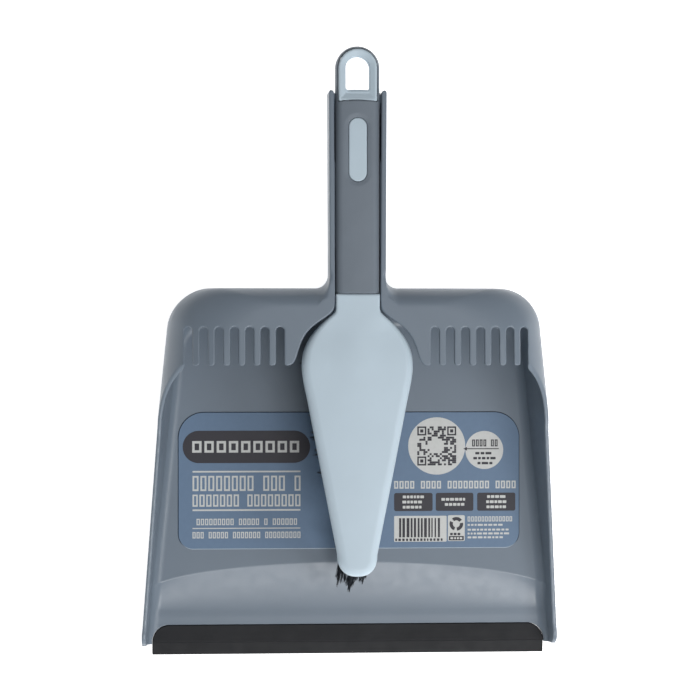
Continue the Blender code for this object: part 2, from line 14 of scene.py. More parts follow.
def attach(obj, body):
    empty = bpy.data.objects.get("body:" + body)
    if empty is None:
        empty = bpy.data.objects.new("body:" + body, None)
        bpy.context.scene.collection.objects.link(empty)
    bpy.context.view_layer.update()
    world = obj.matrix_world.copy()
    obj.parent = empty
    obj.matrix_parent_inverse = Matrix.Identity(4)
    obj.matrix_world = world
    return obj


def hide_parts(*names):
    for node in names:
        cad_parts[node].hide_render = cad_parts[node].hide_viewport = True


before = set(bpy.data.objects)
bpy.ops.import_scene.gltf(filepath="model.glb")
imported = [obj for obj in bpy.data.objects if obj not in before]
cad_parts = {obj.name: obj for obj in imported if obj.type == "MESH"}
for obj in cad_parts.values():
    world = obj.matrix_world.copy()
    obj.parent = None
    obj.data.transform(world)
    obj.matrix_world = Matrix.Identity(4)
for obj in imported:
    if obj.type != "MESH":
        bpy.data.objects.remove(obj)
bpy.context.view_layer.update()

MM = 0.001

# ------------------------------------------------------------ sizes, in millimetres, as in the CAD
# The crease at the top of the ramp is the one exception: it lies 1.8 mm further forward than in the CAD.
PAN_BACK, PAN_FRONT, FRONT_HALF_WIDTH = 23.4, -177.5, 127.2
SIDE_TAPER, SIDE_LEAN, BACK_LEAN, CORNER_RADIUS = 0.1015, 0.12, 0.30, 23.0
WALL, WIDEST_Z, BACK_STRAIGHT_Z, BACK_ROUND_Z = 2.6, 50.0, 60.0, 66.0
HOOD_TOP, SHOULDER, BACK_ROUND = 80.0, 38.0, 12.0
FLOOR_Z, FLOOR_PLATE, FLOOR_FILLET = 9.0, 2.5, 5.5
CREASE_Y, RAMP_END_Y, RAMP_END_Z, BEVEL_Y = -127.8, -158.0, 3.4, -160.5
LIP_BACK, LIP_STEP, LIP_FRONT = -167.0, -177.6, -185.5
LIP_HALF_WIDTH, LIP_CORNER, LIP_THICK = 122.5, 10.5, 3.0
COMB_PITCH, COMB_FIRST, COMB_SLOTS, SLOT_WIDTH = 9.08, 46.3, 7, 4.8
SLOT_TOP, TOOTH_TIP = 18.0, -5.2
RIB_HALF, RIB_X, RIB_Y, HEEL_HALF, HEEL_Y = 1.1, 62.0, -62.0, 4.0, 8.0
TROUGH_HALF, TROUGH_INNER = (16.8, 17.35), (13.5, 14.25)
TROUGH_START, TROUGH_END, TROUGH_UNDER, TROUGH_FLOOR, TROUGH_FLARE = 31.0, 159.3, 56.0, 60.5, 8.0
TROUGH_LENGTH = TROUGH_END - TROUGH_START
NECK_RANGE = (31.0, 56.0)  # where the trough's outside flares into the hood
PAD_INNER, PAD_RANGE = 13.4, (65.0, 118.0)
EDGE = 0.85  # rounding of the moulding's free edges
GRIP_HALF, GRIP_START, LOOP_CENTRE = (13.05, 13.25), 37.9, 172.4
HANDLE_TOP, HANDLE_UNDER, GRIP_EDGE = 82.0, 62.6, 4.2
RING_HALF, RING_START, HOLE_HALF, HOLE_START = 11.5, 152.6, 7.2, 159.4
PILL_HALF, PILL_RANGE, PILL_LOW = 5.4, (104.7, 142.8), 74.0
BAR_HALF, BAR_THICK, BAR_Z, CLEAR = 9.5, 4.6, 73.6, 0.12
HEAD_HALF, HEAD_TIP, TIP_HALF, TIP_START = 33.2, -131.0, 11.9, -118.0
HEAD_TOP, HEAD_UNDER = 84.0, 69.0
CARD_HALF, CARD_BACK, CARD_FRONT, CARD_LOW, CARD_THICK = 106.6, -34.2, -119.4, 9.1, 0.5
CARD_BACK_RADIUS, CARD_FRONT_RADIUS = 16.0, 9.5
CARD_BEVEL, INK_THICK = 0.3, 0.025
SEAT_CLEAR = 0.15  # between the lip and its seat in the pan
PAST = -8.0  # outlines run this far past the middle plane, which then makes no edge


# ------------------------------------------------------------ shaping tools: signed distances

SLAB = 24  # layers of the grid that are worked out at a time
SPECK_FACES = 100  # a loose island with fewer faces than this is a speck
EXTRA_STEPS = 8  # for the few vertices that start far from the surface


def rounded_max(a, b, r, c=0.0):
    """The solid inside both a and b, its edge rounded to radius r.

    c is the cosine of the angle between their normals.
    """
    a, b = a + r, b + r
    wedge = (a > c * b) & (b > c * a) & (np.maximum(a, b) > 0)
    reach = np.sqrt(np.maximum(a * a + b * b - 2 * c * a * b, 0.0) / (1 - c * c))
    return np.where(wedge, reach, np.maximum(a, b)) - r


def rounded_min(a, b, r):
    """The solid inside either a or b, with a fillet of radius r between them."""
    return -rounded_max(-a, -b, r)


def smooth_step(t):
    t = np.clip(t, 0.0, 1.0)
    return t * t * (3 - 2 * t)


def outline_distance(points, x, y):
    """Signed distance in the plane to a closed outline, negative inside."""
    points = np.asarray(points, float)
    best = np.full(np.broadcast(x, y).shape, 1e9)
    inside = np.zeros(best.shape, bool)
    for (x0, y0), (x1, y1) in zip(points, np.roll(points, -1, axis=0)):
        dx, dy = x1 - x0, y1 - y0
        along = np.clip(((x - x0) * dx + (y - y0) * dy) / (dx * dx + dy * dy + 1e-12), 0, 1)
        best = np.minimum(best, (x - x0 - along * dx) ** 2 + (y - y0 - along * dy) ** 2)
        if y0 != y1:
            crosses = ((y0 > y) != (y1 > y)) & (x < x0 + (y - y0) * dx / dy)
            inside ^= crosses
    return np.where(inside, -1.0, 1.0) * np.sqrt(best)


def arc(cx, cy, rx, ry, start, end, steps):
    turns = np.radians(np.linspace(start, end, steps + 1))
    return [(cx + rx * np.cos(t), cy + ry * np.sin(t)) for t in turns]


def bezier(a, b, c, d, steps):
    t = np.linspace(0, 1, steps + 1)[:, None]
    a, b, c, d = (np.array(p, float) for p in (a, b, c, d))
    curve = a * (1 - t) ** 3 + 3 * b * t * (1 - t) ** 2 + 3 * c * t * t * (1 - t) + d * t**3
    return [tuple(p) for p in curve]


def surface(distance, low, high, step):
    """A mesh of the place where distance(x, y, z) is zero: its vertices, then its quads.

    One vertex is made in each grid cell that the surface crosses. The solid is the same on both sides
    of x = 0, so distance is only asked for x above 0, and the rest is mirrored.
    """
    axes = [(np.arange(int(np.ceil(high[0] / step))) + 0.5) * step]
    axes += [np.arange(low[i], high[i] + step, step) for i in (1, 2)]
    x, y, z = axes[0][:, None, None], axes[1][None, :, None], axes[2][None, None, :]
    slabs = [distance(x[i : i + SLAB], y, z) for i in range(0, len(axes[0]), SLAB)]
    f = np.concatenate(slabs).astype(np.float32)
    f = np.concatenate([f[::-1], f])
    axes[0] = np.concatenate([-axes[0][::-1], axes[0]])
    solid = f < 0
    corners = [(i, j, k) for i in (0, 1) for j in (0, 1) for k in (0, 1)]
    size = [n - 1 for n in f.shape]

    def part(array, at):
        return array[tuple(slice(a, a + n) for a, n in zip(at, size))]

    filled = sum(part(solid, at).astype(np.uint8) for at in corners)
    cells = np.argwhere((filled > 0) & (filled < 8))
    number = np.full(size, -1, np.int32)
    number[tuple(cells.T)] = np.arange(len(cells))
    values = {at: f[tuple((cells + at).T)] for at in corners}
    total, crossings = np.zeros((len(cells), 3)), np.zeros(len(cells))
    for a in corners:
        for axis in range(3):
            if a[axis]:
                continue
            b = tuple(v + (n == axis) for n, v in enumerate(a))
            cut = (values[a] < 0) != (values[b] < 0)
            share = np.where(cut, values[a] / np.where(cut, values[a] - values[b], 1), 0)
            place = np.array(a, float)[None, :] + share[:, None] * np.eye(3)[axis]
            total += place * cut[:, None]
            crossings += cut
    base = np.stack([axes[n][cells[:, n]] for n in range(3)], axis=1)
    vertices = base + step * total / crossings[:, None]
    quads = []
    for axis in range(3):
        other = [n for n in range(3) if n != axis]
        a = solid[tuple(slice(None, -1) if n == axis else slice(1, -1) for n in range(3))]
        b = solid[tuple(slice(1, None) if n == axis else slice(1, -1) for n in range(3))]
        edges = np.argwhere(a != b)
        edges[:, other] += 1
        outward = a[a != b]
        ring = []
        for step_a, step_b in ((0, 0), (1, 0), (1, 1), (0, 1)):
            cell = edges.copy()
            cell[:, other[0]] -= step_a
            cell[:, other[1]] -= step_b
            ring.append(number[tuple(cell.T)])
        ring = np.stack(ring, axis=1)
        flip = outward if axis != 1 else ~outward
        ring[flip] = ring[flip][:, ::-1]
        quads.append(ring)
    return vertices, np.concatenate(quads)[:, ::-1]


def slope(distance, points, reach=0.02):
    """The distance and its gradient at points on the +X side."""
    x, y, z = points.T
    value = distance(x, y, z)
    ahead = [distance(x + dx, y + dy, z + dz) for dx, dy, dz in reach * np.eye(3)]
    return value, (np.stack(ahead, axis=1) - value[:, None]) / reach


def settle(distance, points, steps=3, most=0.6):
    """Moves each point along the gradient onto the surface, by at most so much in a step."""
    points = points.copy()
    active = np.arange(len(points))
    for turn in range(steps + EXTRA_STEPS):
        value, gradient = slope(distance, points[active])
        move = gradient * (value / np.maximum((gradient**2).sum(1), 1e-6))[:, None]
        length = np.linalg.norm(move, axis=1)
        points[active] -= move * np.minimum(1, most / np.maximum(length, 1e-9))[:, None]
        if turn >= steps - 1:
            keep = length > 0.01
            active, most = active[keep], most * 0.6
        if not len(active):
            break
    return points


def both_sides(work, points):
    """work(points) done on the +X side, for points on both sides."""
    sign = np.where(points[:, 0] < 0, -1.0, 1.0)
    folded = points.copy()
    folded[:, 0] *= sign
    done = work(folded)
    done[:, 0] *= sign
    return done


def clean(mesh):
    """Takes out the specks, flaps and slivers that thinning left, and closes the pinholes round them."""
    work = bmesh.new()
    work.from_mesh(mesh)
    waiting, specks = set(work.faces), []
    while waiting:
        island, ends = [], [waiting.pop()]
        while ends:
            face = ends.pop()
            island.append(face)
            near = {other for edge in face.edges for other in edge.link_faces} & waiting
            waiting -= near
            ends += near
        if len(island) < SPECK_FACES:
            specks += island
    bmesh.ops.delete(work, geom=specks, context="FACES")
    flaps = [face for face in work.faces if any(edge.is_boundary for edge in face.edges)]
    flaps = [face for face in flaps if any(len(edge.link_faces) > 2 for edge in face.edges)]
    bmesh.ops.delete(work, geom=flaps, context="FACES")
    bmesh.ops.dissolve_degenerate(work, dist=1e-6, edges=work.edges)
    bmesh.ops.holes_fill(work, edges=[edge for edge in work.edges if edge.is_boundary], sides=0)
    bmesh.ops.triangulate(work, faces=[face for face in work.faces if len(face.verts) > 4])
    work.to_mesh(mesh)
    work.free()


def moulding(name, distance, low, high, step, keep):
    """A closed, evenly shaded mesh, in metres, of the solid that distance describes.

    low and high bound its +X half, step is the grid's pitch, and keep is the share of faces kept.
    """
    vertices, quads = surface(distance, low, high, step)
    right = vertices[:, 0] > 0
    vertices[right] = settle(distance, vertices[right])
    vertices[~right] = both_sides(lambda p: settle(distance, p), vertices[~right])
    whole = bpy.data.meshes.new(name)
    whole.from_pydata(vertices * MM, [], quads.tolist())
    made = bpy.data.objects.new(name, whole)
    bpy.context.scene.collection.objects.link(made)
    made.modifiers.new("thin", "DECIMATE").ratio = keep
    dg = bpy.context.evaluated_depsgraph_get()
    mesh = bpy.data.meshes.new_from_object(made.evaluated_get(dg), depsgraph=dg)
    made.modifiers.clear()
    made.data = mesh
    bpy.data.meshes.remove(whole)
    mesh.name = name
    clean(mesh)
    points = np.empty(len(mesh.vertices) * 3, np.float32)
    mesh.vertices.foreach_get("co", points)
    points = points.reshape(-1, 3).astype(float) / MM
    points = both_sides(lambda p: settle(distance, p, 1, 0.15), points)
    normals = both_sides(lambda p: slope(distance, p)[1], points)
    normals /= np.maximum(np.linalg.norm(normals, axis=1), 1e-9)[:, None]
    mesh.vertices.foreach_set("co", (points * MM).astype(np.float32).ravel())
    mesh.update()
    mesh.polygons.foreach_set("use_smooth", [True] * len(mesh.polygons))
    mesh.normals_split_custom_set_from_vertices([tuple(n) for n in normals])
    return made


# ------------------------------------------------------------ pan: shapes


def side_x(y, z):
    """Where the outside of the side wall lies."""
    return FRONT_HALF_WIDTH - SIDE_TAPER * (y - PAN_FRONT) + SIDE_LEAN * np.minimum(z, WIDEST_Z)


def drop(height, width, tall):
    """How far an elliptical shoulder falls short of its wall's line, and the rate of that with height.

    height is measured from the shoulder's start.
    """
    last = 0.99  # share of the shoulder above which the rate stays the same
    share = np.clip(height / tall, 0, last)
    root = np.sqrt(1 - share * share)
    rate = width * share / (tall * root)
    return width * (1 - root) + rate * np.maximum(height - last * tall, 0), rate


def walls(x, y, z, inset):
    """The pan drawn in by inset: side walls, back wall and flat top.

    Its outline in plan is rounded at every height.
    """
    side = x - side_x(y, z) + inset
    back = y - PAN_BACK - BACK_LEAN * np.minimum(z, BACK_STRAIGHT_Z) + inset
    side_drop, side_rate = drop(z - WIDEST_Z, SHOULDER - inset, HOOD_TOP - WIDEST_Z - inset)
    back_tall = HOOD_TOP - BACK_ROUND_Z - inset
    back_drop, back_rate = drop(z - BACK_ROUND_Z, BACK_ROUND - inset, back_tall)
    corner = CORNER_RADIUS - inset + 0.3 * side_drop
    plan = rounded_max(side + side_drop, back + back_drop, corner, SIDE_TAPER)
    a, b = np.maximum(side + side_drop + corner, 0), np.maximum(back + back_drop + corner, 0)
    reach = np.sqrt(a * a + b * b) + 1e-6
    rate = a / reach * (side_rate - SIDE_LEAN * (z < WIDEST_Z))
    rate = rate + b / reach * (back_rate - BACK_LEAN * (z < BACK_STRAIGHT_Z))
    return rounded_max(plan / np.sqrt(1 + rate * rate), z - HOOD_TOP + inset, 20.0, 0.99)


def floor_height(x, y):
    """The pan's floor, its ramp and the level edge behind the lip."""
    share = np.minimum(1.0, np.abs(x) / (1.12 * (side_x(y, 9.0) - WALL - FLOOR_FILLET)))
    crease = CREASE_Y - 11 * share**2 - 7 * share**8
    t = (crease - y) / (crease - RAMP_END_Y)
    fall = np.where(t < 0, 1 - 1.6 * t, np.clip(1 - t, 0, 1) ** 1.6)
    ramp = RAMP_END_Z + (FLOOR_Z - RAMP_END_Z) * fall
    soft = 0.25  # how far in height the crease is rounded
    gap = np.maximum(soft - np.abs(ramp - FLOOR_Z), 0)
    height = np.minimum(ramp, FLOOR_Z) - gap * gap / (4 * soft)
    bevel = RAMP_END_Z - 0.3 * smooth_step((BEVEL_Y - y) / (BEVEL_Y - LIP_BACK))
    return np.where(y < BEVEL_Y, bevel, height)


def hood_outline():
    """The +X half of the plan that opens the hood: the brush head's cut-out and the comb's slots."""
    neck, hip, slot = TROUGH_INNER[0] + 0.1, (33.8, 8.5), SLOT_WIDTH / 2
    tip = (COMB_PITCH - SLOT_WIDTH) / 2
    edge = [(PAST, TROUGH_START + 2), (neck, TROUGH_START + 2)]
    edge += bezier((neck, TROUGH_START), (14.3, 22.8), (28.3, 22.6), hip, 18)
    edge += bezier(hip, (36.2, 3), (36.4, -2.2), (39.4, -4.3), 10)[1:]
    edge += arc(COMB_FIRST - slot - tip, TOOTH_TIP + tip, tip, tip, 250, 360, 8)
    for i in range(COMB_SLOTS):
        x = COMB_FIRST + i * COMB_PITCH
        edge += arc(x, SLOT_TOP - slot, slot, slot, 180, 0, 12)
        if i < COMB_SLOTS - 1:
            edge += arc(x + COMB_PITCH / 2, TOOTH_TIP + tip, tip, tip, 180, 360, 10)
    outer = COMB_FIRST + (COMB_SLOTS - 1) * COMB_PITCH + slot
    return edge + [(outer, -60.0), (PAST, -60.0)]


def rim_outline():
    """Everything above the pan's rim line, in the plane of Y and Z, in front of the comb."""
    knee, nose = (-46, 47.5), (-166, 20.5)
    rim = [(TOOTH_TIP, 120), (TOOTH_TIP, 71)]
    rim += bezier((TOOTH_TIP, 71), (-11, 66.5), (-25, 55), knee, 16)[1:]
    rim += bezier(knee, (-80, 40), (-125, 29.5), nose, 24)[1:]
    rim += arc(-170.3, 12.2, 8, 8, 82, 170, 12)
    return rim + [(-220, 12), (-220, 120)]


def masked(distance, mask, x, y):
    """distance(x, y) where the mask holds, and a length that counts as far elsewhere."""
    x, y, mask = np.broadcast_arrays(x, y, mask)
    out = np.full(x.shape, 20.0)
    if mask.any():
        out[mask] = distance(x[mask], y[mask])
    return out


def pan_outside(x, y, z):
    """The pan before its hollows are cut: walls, hood and flat top, and the trough that flares from them.

    The round shoulder gives too short a distance behind the hood, where the fillet would bulge, so the
    back wall's plane is a least distance there. At the neck the edge of the flat top is softened.
    """
    share = (y - TROUGH_START) / TROUGH_LENGTH
    trough = x - (TROUGH_HALF[0] + (TROUGH_HALF[1] - TROUGH_HALF[0]) * share)
    trough = rounded_max(trough, TROUGH_UNDER - z, 6.0)
    trough = rounded_max(trough, y - TROUGH_END, 1.7)
    trough = np.maximum(trough, 15 - y)
    behind = y - PAN_BACK - BACK_LEAN * BACK_STRAIGHT_Z
    solid = rounded_min(np.maximum(walls(x, y, z, 0.0), behind), trough, TROUGH_FLARE)
    neck = smooth_step((y - NECK_RANGE[0]) / 6) * smooth_step((NECK_RANGE[1] - y) / 8)
    soft = 0.05 + 3.0 * neck
    crease = np.maximum(soft - np.abs(solid - (z - HOOD_TOP)), 0)
    edge = 0.05 + 0.85 * smooth_step((y - 46) / 10)
    solid = rounded_max(solid, z - HOOD_TOP, edge) + crease * crease / (4 * soft) * neck
    return rounded_max(solid, -z, 0.6)


def trough_channel(x, y, z):
    """The trough's inside, which opens a little at its far end, with a shallow pad on each side."""
    inner = TROUGH_INNER[0] + (TROUGH_INNER[1] - TROUGH_INNER[0]) * (y - TROUGH_START) / TROUGH_LENGTH
    inner = inner + 1.2 * np.clip((y - TROUGH_END + 1.8) / 1.8, 0, 1.3) ** 2
    pad = (inner - PAD_INNER) * smooth_step((y - PAD_RANGE[0]) / 1.5)
    pad = pad * smooth_step((PAD_RANGE[1] - y) / 1.5)
    pad = pad * smooth_step((z - 65) / 1.2) * smooth_step((78.5 - z) / 1.2)
    channel = rounded_max(x - inner + pad, TROUGH_FLOOR - z, 3.0)
    return np.maximum(channel, 24 - y)


def underside(x, y, z):
    """The hollow below the floor and below the ramp, between the ribs and the heel bar."""
    ribs = np.minimum(x, np.abs(x - RIB_X)) - RIB_HALF
    ribs = np.maximum(ribs, -121 - y)
    across = np.minimum(np.abs(y - HEEL_Y) - HEEL_HALF, np.abs(y - RIB_Y) - RIB_HALF)
    below = np.maximum(walls(x, y, 0.0 * z, 3.2), z - (FLOOR_Z - FLOOR_PLATE))
    below = np.maximum(below, -122 - y)
    ramp = np.maximum(x - (side_x(y, 0.0) - 3.5), np.abs(y + 136) - 15)
    ramp = np.maximum(ramp, z - 0.6 - (y + 151) * 5.8 / 30)
    return np.maximum(np.minimum(below, ramp), -np.minimum(ribs, across))


def pan_distance(x, y, z):
    solid = pan_outside(x, y, z)
    room = rounded_max(walls(x, y, z, WALL), (floor_height(x, y) - z) / 1.02, FLOOR_FILLET)
    solid = rounded_max(solid, -room, EDGE)
    solid = rounded_max(solid, -trough_channel(x, y, z), 0.8)
    near = (y > -50) & (y < 45) & (x < 112)
    opening = masked(lambda a, b: outline_distance(HOOD, a, b), near, x, y)
    solid = rounded_max(solid, -np.maximum(opening, 58 - z), EDGE)
    solid = rounded_max(solid, -outline_distance(RIM, y, z), EDGE)
    solid = rounded_max(solid, -underside(x, y, z), 0.35)
    seat = rounded_max(x - LIP_HALF_WIDTH - SEAT_CLEAR, y - LIP_BACK - SEAT_CLEAR, LIP_CORNER)
    return rounded_max(solid, -seat, 0.4)


# ------------------------------------------------------------ brush: shapes


def handle_share(y):
    """How far along the handle, from 0 at the head to 1 at the loop."""
    return np.clip((y - GRIP_START) / (LOOP_CENTRE - GRIP_START), 0, 1)


def handle_top(y):
    return HANDLE_TOP - 1.5 * handle_share(y)


def handle_under(y):
    return HANDLE_UNDER + 5.0 * handle_share(y)


def handle_plan(x, y):
    """The handle's outline in plan: nearly parallel sides and a half-round far end."""
    half = GRIP_HALF[0] + (GRIP_HALF[1] - GRIP_HALF[0]) * handle_share(y)
    return np.where(y > LOOP_CENTRE, np.sqrt(x * x + (y - LOOP_CENTRE) ** 2), x) - half


def pill_plan(x, y):
    """The round-ended inlay that shows through the grip's window."""
    middle, half = sum(PILL_RANGE) / 2, (PILL_RANGE[1] - PILL_RANGE[0]) / 2 - PILL_HALF
    return np.sqrt(x * x + np.maximum(np.abs(y - middle) - half, 0) ** 2) - PILL_HALF


def ring_plan(x, y):
    """The ring round the hanging hole."""
    side = np.where(y > LOOP_CENTRE, np.sqrt(x * x + (y - LOOP_CENTRE) ** 2), x) - RING_HALF
    return np.maximum(side, RING_START + 0.5 * (1 - (x / RING_HALF) ** 2) - y)


def hole_plan(x, y):
    side = np.where(y > LOOP_CENTRE, np.sqrt(x * x + (y - LOOP_CENTRE) ** 2), x) - HOLE_HALF
    return rounded_max(side, HOLE_START + 0.3 * (1 - (x / HOLE_HALF) ** 2) - y, 1.6)


def bar_distance(x, y, z, grow, end):
    """The core's bar inside the grip, larger by grow all round, up to y = end."""
    bar = rounded_max(x - BAR_HALF - grow, np.abs(z - BAR_Z) - BAR_THICK - grow, 2.2)
    return np.maximum(bar, y - end)


def grip_distance(x, y, z):
    """The soft sleeve: dished round its window, hollow for the bar, open round the ring."""
    plan = handle_plan(x, y)
    dish = 0.55 * smooth_step(1 - pill_plan(x, y) / 3.2)
    top = handle_top(y) - 1.1 * (x / GRIP_HALF[0]) ** 2 - dish
    past = np.clip((y - LOOP_CENTRE) / GRIP_HALF[1], 0, 1)
    top = top - 0.8 * past**2
    under = handle_under(y) + 1.1 * (x / GRIP_HALF[0]) ** 2 + 0.8 * past**2
    solid = rounded_max(plan, z - top, GRIP_EDGE)
    solid = rounded_max(solid, under - z, GRIP_EDGE)
    solid = rounded_max(solid, GRIP_START - y, 0.5)
    solid = rounded_max(solid, -bar_distance(x, y, z, CLEAR, 156.2), 0.2)
    ring = ring_plan(x, y) - CLEAR
    solid = rounded_max(solid, -ring, 0.45)
    window = np.maximum(pill_plan(x, y) - CLEAR, PILL_LOW - z)
    return rounded_max(solid, -window, 0.5)


def head_outline():
    """(x, y) round the head's +X half in plan: neck, shoulder, long taper and rounded tip."""
    neck = [(PAST, GRIP_START - CLEAR), (GRIP_HALF[0], GRIP_START - CLEAR)]
    start, hip, widest, taper = (GRIP_HALF[0], 30), (17.5, 23.4), (HEAD_HALF, -5), (29.9, -25.5)
    flare = bezier(start, (GRIP_HALF[0], 26.5), (14.2, 26.2), hip, 14)
    flare += bezier(hip, (25.5, 16.6), (33.3, 8), widest, 22)[1:]
    turn = bezier(widest, (33.1, -12), (31.3, -19), taper, 14)[1:]
    turns = np.radians(np.linspace(0, 90, 26)[:-1])
    length = TIP_START - HEAD_TIP
    tip = [(TIP_HALF * np.cos(t) ** 0.84, TIP_START - length * np.sin(t) ** 0.84) for t in turns]
    return neck + flare + turn + tip + [(0.0, HEAD_TIP), (PAST, HEAD_TIP)]


def head_distance(x, y, z):
    """The head and neck: a shallow crown with sloping hips, and a nearly flat underside."""
    plan = masked(lambda a, b: outline_distance(HEAD, a, b), (y < 45) & (x < 50), x, y)
    ease = smooth_step((34 - y) / 40)
    fall = np.clip((-10 - y) / -HEAD_TIP, 0, 1)
    top = handle_top(y) * (1 - ease) + HEAD_TOP * ease - 2.3 * fall**2
    under = HANDLE_UNDER * (1 - ease) + HEAD_UNDER * ease
    width = np.maximum(GRIP_HALF[0], HEAD_HALF - 0.19 * np.abs(y + 5))
    crown = 0.05 * width * (x / width) ** 2
    ridge = 12.6 - 0.3 * np.clip(30 - y, 0, 15)
    hips = 1.1 * smooth_step((x - ridge + 8.0) / 18.0)
    fade = smooth_step((30 - y) / 16) * smooth_step((y + 38) / 52)
    round_top = 1.4 + 3.8 * ease
    solid = rounded_max(plan, z - (top - crown - hips * fade), round_top)
    return rounded_max(solid, under + 0.5 * (x / width) ** 2 - z, 3.6 - 1.4 * ease)


def core_distance(x, y, z):
    """Head, neck, the bar inside the grip, the pill and the loop ring: one hard moulding."""
    head = head_distance(x, y, z)
    bar = np.maximum(bar_distance(x, y, z, 0.0, 158.0), 25 - y)
    pill = rounded_max(pill_plan(x, y), z - (handle_top(y) - 0.75), 0.6)
    pill = np.maximum(pill, PILL_LOW - z)
    ring = ring_plan(x, y)
    level = 79.55 - 0.42 * np.maximum(-ring - 1.1, 0)
    low = 68.55 + 0.42 * np.maximum(-ring - 1.1, 0)
    ring = rounded_max(rounded_max(ring, z - level, 0.5), low - z, 0.5)
    solid = np.minimum(np.minimum(head, bar), np.minimum(pill, ring))
    hole = np.where(y > 140, hole_plan(x, y), 30.0)
    return rounded_max(solid, -hole, 0.5)


# ------------------------------------------------------------ rubber lip


def lip_distance(x, y, z):
    """A thick band at the back and a thinner blade in front of it."""
    plan = rounded_max(x - LIP_HALF_WIDTH, y - LIP_BACK, LIP_CORNER)
    plan = rounded_max(plan, LIP_FRONT - y, 0.5)
    blade = 1.9 - 1.1 * np.clip((LIP_STEP - y) / (LIP_STEP - LIP_FRONT), 0, 1)
    top = blade + (LIP_THICK - blade) * smooth_step((y - LIP_STEP + 0.7) / 0.8)
    return rounded_max(rounded_max(plan, (z - top) / 1.05, 0.35), -z, 0.25)


# ------------------------------------------------------------ materials


class Finish:
    """A Principled material with small helpers for its node tree.

    Textures use object coordinates, in metres.
    """

    def __init__(self, name, rgb, roughness, **inputs):
        self.material = bpy.data.materials.new(name)
        self.material.use_nodes = True
        self.tree = self.material.node_tree
        self.shader = self.tree.nodes["Principled BSDF"]
        self.shader.inputs["Base Color"].default_value = (*rgb, 1)
        self.shader.inputs["Roughness"].default_value = roughness
        self.rgb, self.roughness = rgb, roughness
        for socket, value in inputs.items():
            self.shader.inputs[socket.replace("_", " ")].default_value = value
        self.place = self.tree.nodes.new("ShaderNodeTexCoord").outputs["Object"]
        self.relief = None

    def link(self, a, b):
        self.tree.links.new(a, b)

    def noise(self, scale, detail, stretch=(1, 1, 1)):
        """Noise with scale features per metre, drawn out along an axis where stretch is below 1."""
        mapping = self.tree.nodes.new("ShaderNodeMapping")
        mapping.inputs["Scale"].default_value = stretch
        self.link(self.place, mapping.inputs["Vector"])
        texture = self.tree.nodes.new("ShaderNodeTexNoise")
        texture.inputs["Scale"].default_value = scale
        texture.inputs["Detail"].default_value = detail
        self.link(mapping.outputs["Vector"], texture.inputs["Vector"])
        return texture.outputs["Fac"]

    def ramp(self, value, low, high, start=0.3, end=0.7):
        """value mapped from start..end to low..high, which are numbers or colours."""
        node = self.tree.nodes.new("ShaderNodeMapRange" if np.isscalar(low) else "ShaderNodeMix")
        if np.isscalar(low):
            sockets = {"From Min": start, "From Max": end, "To Min": low, "To Max": high}
            for socket, number in sockets.items():
                node.inputs[socket].default_value = number
            self.link(value, node.inputs["Value"])
            return node.outputs["Result"]
        node.data_type = "RGBA"
        self.link(self.ramp(value, 0.0, 1.0, start, end), node.inputs["Factor"])
        node.inputs["A"].default_value = (*low, 1)
        node.inputs["B"].default_value = (*high, 1)
        return node.outputs["Result"]

    def colour(self, value, spread):
        """The base colour, varied by value from spread darker to spread lighter."""
        low, high = ([c * (1 + side * spread) for c in self.rgb] for side in (-1, 1))
        self.link(self.ramp(value, low, high), self.shader.inputs["Base Color"])

    def shine(self, value, spread):
        """The roughness, varied by value from spread below to spread above."""
        varied = self.ramp(value, self.roughness - spread, self.roughness + spread)
        self.link(varied, self.shader.inputs["Roughness"])

    def bump(self, value, depth):
        """Surface relief from value, depth metres high, over any relief added before."""
        node = self.tree.nodes.new("ShaderNodeBump")
        node.inputs["Distance"].default_value = depth
        self.link(value, node.inputs["Height"])
        if self.relief:
            self.link(self.relief, node.inputs["Normal"])
        self.relief = node.outputs["Normal"]
        self.link(self.relief, self.shader.inputs["Normal"])


def plastic(name, rgb, roughness, grain, **inputs):
    """Moulded plastic: a fine spark-eroded grain, slow waviness, faint colour and gloss mottling."""
    made = Finish(name, rgb, roughness, **inputs)
    made.colour(made.noise(38, 4), 0.02)
    made.shine(made.noise(160, 5), 0.035)
    made.bump(made.noise(14, 2), 0.00035)
    made.bump(made.noise(2600, 2), grain)
    return made.material


def soft_rubber(name, rgb, roughness):
    made = Finish(name, rgb, roughness, Sheen_Weight=0.12, Sheen_Roughness=0.5)
    made.colour(made.noise(60, 4), 0.03)
    made.shine(made.noise(220, 4), 0.04)
    made.bump(made.noise(1900, 4), 0.00006)
    return made.material


def lip_rubber(name, rgb, roughness):
    """Extruded rubber: fine lines along its length and a dry bloom."""
    made = Finish(name, rgb, roughness, Specular_IOR_Level=0.3)
    made.colour(made.noise(45, 5), 0.14)
    made.shine(made.noise(120, 4), 0.05)
    made.bump(made.noise(900, 3, (0.03, 1, 1)), 0.00006)
    made.bump(made.noise(2400, 3), 0.00003)
    return made.material


def bristle_nylon(name, rgb, roughness):
    made = Finish(name, rgb, roughness, Specular_IOR_Level=0.1)
    made.colour(made.noise(420, 2, (1, 1, 0.15)), 0.5)
    made.shine(made.noise(300, 2), 0.08)
    return made.material


